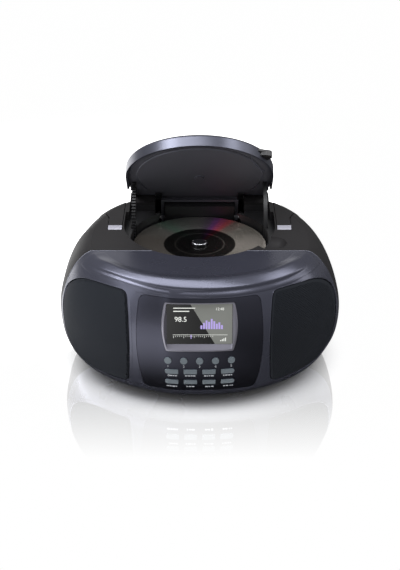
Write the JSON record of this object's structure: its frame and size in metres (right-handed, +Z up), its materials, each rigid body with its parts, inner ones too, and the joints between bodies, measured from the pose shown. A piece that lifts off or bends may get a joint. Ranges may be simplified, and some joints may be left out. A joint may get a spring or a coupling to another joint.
{
  "type": "portable cd radio",
  "caption": "Rounded portable radio with a top-loading disc player, lid open, display, push buttons, side grilles, folding handle and telescopic aerial.",
  "frame": {"origin": "on the table under the middle of the cabinet", "axes": "+X to the right of someone facing the front, +Y to the back, +Z up"},
  "size_m": [0.249, 0.24, 0.2011],
  "materials": {
    "deck_plastic": "fine matt, brownish black",
    "front_plastic": "satin graphite-navy with a metallic look",
    "panel_plastic": "satin dark navy",
    "black_plastic": "matt black",
    "grille_metal": "black painted perforated sheet",
    "lid_plastic": "satin graphite",
    "liner_plastic": "matt charcoal",
    "button_plastic": "satin grey-green",
    "glass": "clear window",
    "display": "dark display module",
    "bezel_plastic": "satin lilac grey",
    "silver_trim": "bright satin",
    "steel": "plain steel",
    "aerial_chrome": "polished",
    "disc_face": "mirror-like underside seen through clear plastic",
    "circuit_board": "green circuit board",
    "cone_paper": "pressed paper",
    "rubber": "matt black rubber",
    "white_plastic": "natural acetal",
    "cell_sleeve": "plain printed sleeve, dark grey",
    "lens_glass": "clear lens"
  },
  "bodies": {
    "cabinet": {"front_cabinet": "front_plastic", "rear_cabinet": "deck_plastic", "disc_well": "black_plastic", "hinge_bracket": "black_plastic", "control_panel": "panel_plastic", "display_bezel": "bezel_plastic", "display_window": "glass", "display_module": "display", "left_grille": "grille_metal", "right_grille": "grille_metal", "speaker_baskets": "steel", "speaker_cones": "cone_paper", "speaker_magnets": "steel", "key_board": "circuit_board", "main_board": "circuit_board", "power_transformer": "steel", "battery_cells": "cell_sleeve", "battery_contacts": "steel", "ac_inlet": "black_plastic", "jack_sockets": "black_plastic", "rubber_feet": "rubber", "cabinet_screws": "steel", "player_chassis": "steel", "chassis_dampers": "rubber", "spindle_motor": "steel", "sled_rails": "steel", "sled_motor": "steel", "damper_housing": "black_plastic"},
    "lid": {"lid_shell": "lid_plastic", "lid_liner": "liner_plastic", "lid_rack_arm": "black_plastic", "lid_guide_arm": "black_plastic", "lid_tab": "black_plastic", "hinge_pins": "steel"},
    "damper": {"damper_gear": "white_plastic"},
    "turntable": {"turntable_hub": "black_plastic"},
    "record": {"disc": "disc_face"},
    "sled": {"laser_sled": "black_plastic", "objective_lens": "lens_glass"},
    "sled_drive": {"sled_gear": "white_plastic"},
    "handle": {"handle": "deck_plastic", "handle_caps": "silver_trim"},
    "battery_door": {"battery_door": "deck_plastic"},
    "aerial_swivel": {"aerial_base": "black_plastic"},
    "aerial_root": {"aerial_lower": "aerial_chrome"},
    "aerial_mid": {"aerial_middle": "aerial_chrome"},
    "aerial_tip": {"aerial_upper": "aerial_chrome"},
    "preset_button_1": {"preset_button_1": "button_plastic"},
    "preset_button_2": {"preset_button_2": "button_plastic"},
    "preset_button_3": {"preset_button_3": "button_plastic"},
    "preset_button_4": {"preset_button_4": "button_plastic"},
    "preset_button_5": {"preset_button_5": "button_plastic"},
    "power_button": {"power_button": "button_plastic"},
    "mode_button": {"mode_button": "button_plastic"},
    "scan_button": {"scan_button": "button_plastic"},
    "store_button": {"store_button": "button_plastic"},
    "menu_button": {"menu_button": "button_plastic"},
    "play_button": {"play_button": "button_plastic"},
    "stop_button": {"stop_button": "button_plastic"},
    "select_button": {"select_button": "button_plastic"}
  },
  "joints": [
    {"name": "lid_hinge", "type": "hinge", "parent": "cabinet", "child": "lid", "pos_m": [0, 0.077, 0.0917], "axis": [-1, 0, 0], "range_deg": [-46.5, 0], "stiffness_Nm_per_rad": 0.08, "springref_deg": 34.38},
    {"name": "damper_spin", "type": "hinge", "parent": "cabinet", "child": "damper", "pos_m": [-0.06045, 0.02111, 0.07777], "axis": [-1, 0, 0], "range_deg": [-5, 455]},
    {"name": "turntable_spin", "type": "hinge", "parent": "cabinet", "child": "turntable", "pos_m": [0, 0.0076, 0.09], "axis": [0, 0, -1], "continuous": true},
    {"name": "disc_lift", "type": "slide", "parent": "turntable", "child": "record", "axis": [0, 0, 1], "range_m": [0, 0.022]},
    {"name": "sled_slide", "type": "slide", "parent": "cabinet", "child": "sled", "axis": [1, 0, 0], "range_m": [0, 0.035]},
    {"name": "sled_gear_spin", "type": "hinge", "parent": "cabinet", "child": "sled_drive", "pos_m": [0.05, -0.0166, 0.0785], "axis": [0, 0, -1], "range_deg": [-2, 362]},
    {"name": "handle_lift", "type": "hinge", "parent": "cabinet", "child": "handle", "pos_m": [0, 0.0115, 0.105], "axis": [1, 0, 0], "range_deg": [0, 68]},
    {"name": "battery_door_hinge", "type": "hinge", "parent": "cabinet", "child": "battery_door", "pos_m": [0, 0.105, 0.0136], "axis": [-1, 0, 0], "range_deg": [0, 85]},
    {"name": "aerial_turn", "type": "hinge", "parent": "cabinet", "child": "aerial_swivel", "pos_m": [0.048, 0.106, 0.095], "axis": [0, 1, 0], "range_deg": [0, 180]},
    {"name": "aerial_tilt", "type": "hinge", "parent": "aerial_swivel", "child": "aerial_root", "pos_m": [0.048, 0.1135, 0.095], "axis": [0, 0, -1], "range_deg": [0, 90]},
    {"name": "aerial_mid_slide", "type": "slide", "parent": "aerial_root", "child": "aerial_mid", "axis": [-1, 0, 0], "range_m": [0, 0.07]},
    {"name": "aerial_tip_slide", "type": "slide", "parent": "aerial_mid", "child": "aerial_tip", "axis": [-1, 0, 0], "range_m": [0, 0.07]},
    {"name": "preset_press_1", "type": "slide", "parent": "cabinet", "child": "preset_button_1", "axis": [0, 1, 0], "range_m": [0, 0.0008], "stiffness_N_per_m": 400},
    {"name": "preset_press_2", "type": "slide", "parent": "cabinet", "child": "preset_button_2", "axis": [0, 1, 0], "range_m": [0, 0.0008], "stiffness_N_per_m": 400},
    {"name": "preset_press_3", "type": "slide", "parent": "cabinet", "child": "preset_button_3", "axis": [0, 1, 0], "range_m": [0, 0.0008], "stiffness_N_per_m": 400},
    {"name": "preset_press_4", "type": "slide", "parent": "cabinet", "child": "preset_button_4", "axis": [0, 1, 0], "range_m": [0, 0.0008], "stiffness_N_per_m": 400},
    {"name": "preset_press_5", "type": "slide", "parent": "cabinet", "child": "preset_button_5", "axis": [0, 1, 0], "range_m": [0, 0.0008], "stiffness_N_per_m": 400},
    {"name": "power_press", "type": "slide", "parent": "cabinet", "child": "power_button", "axis": [0, 1, 0], "range_m": [0, 0.0008], "stiffness_N_per_m": 400},
    {"name": "mode_press", "type": "slide", "parent": "cabinet", "child": "mode_button", "axis": [0, 1, 0], "range_m": [0, 0.0008], "stiffness_N_per_m": 400},
    {"name": "scan_press", "type": "slide", "parent": "cabinet", "child": "scan_button", "axis": [0, 1, 0], "range_m": [0, 0.0008], "stiffness_N_per_m": 400},
    {"name": "store_press", "type": "slide", "parent": "cabinet", "child": "store_button", "axis": [0, 1, 0], "range_m": [0, 0.0008], "stiffness_N_per_m": 400},
    {"name": "menu_press", "type": "slide", "parent": "cabinet", "child": "menu_button", "axis": [0, 1, 0], "range_m": [0, 0.0008], "stiffness_N_per_m": 400},
    {"name": "play_press", "type": "slide", "parent": "cabinet", "child": "play_button", "axis": [0, 1, 0], "range_m": [0, 0.0008], "stiffness_N_per_m": 400},
    {"name": "stop_press", "type": "slide", "parent": "cabinet", "child": "stop_button", "axis": [0, 1, 0], "range_m": [0, 0.0008], "stiffness_N_per_m": 400},
    {"name": "select_press", "type": "slide", "parent": "cabinet", "child": "select_button", "axis": [0, 1, 0], "range_m": [0, 0.0008], "stiffness_N_per_m": 400}
  ],
  "couplings": [
    {"joint": "damper_spin", "follows": "lid_hinge", "ratio": -9.6667},
    {"joint": "sled_gear_spin", "follows": "sled_slide", "rad_per_m": 178.57}
  ]
}
